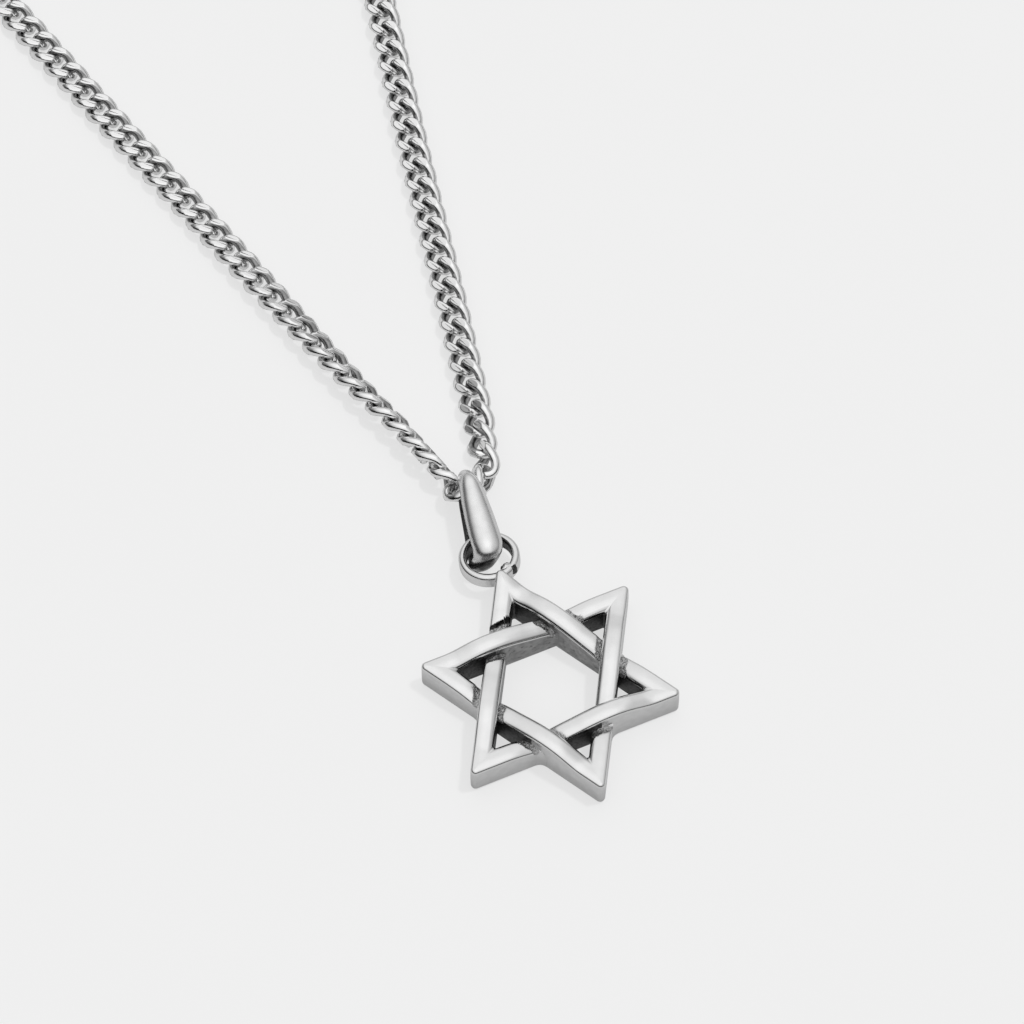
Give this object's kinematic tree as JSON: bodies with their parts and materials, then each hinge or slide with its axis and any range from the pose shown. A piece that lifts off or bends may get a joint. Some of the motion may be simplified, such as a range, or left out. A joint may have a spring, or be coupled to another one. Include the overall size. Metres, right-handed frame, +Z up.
{
  "type": "star of david pendant",
  "caption": "Star of David pendant with woven bars and a soldered ring, on a tapered bail and a curb chain necklace that lies closed on a surface.",
  "frame": {"origin": "middle of the whole necklace's footprint, on the surface that it lies on", "axes": "+Z up out of the star's face, +Y from the star to the clasp, +X to the right seen from the front"},
  "size_m": [0.0995, 0.273, 0.0047],
  "materials": {
    "star_silver": "softly polished, with rough dark dips where the bars cross",
    "bail_silver": "bright polish",
    "chain_silver": "bright polish with filed flats",
    "clasp_silver": "bright polish",
    "ring_silver": "bright polish"
  },
  "bodies": {
    "root": {"star": "star_silver", "bail": "bail_silver", "chain": "chain_silver", "clasp": "clasp_silver", "clasp_ring": "ring_silver", "end_ring": "ring_silver"}
  },
  "joints": []
}
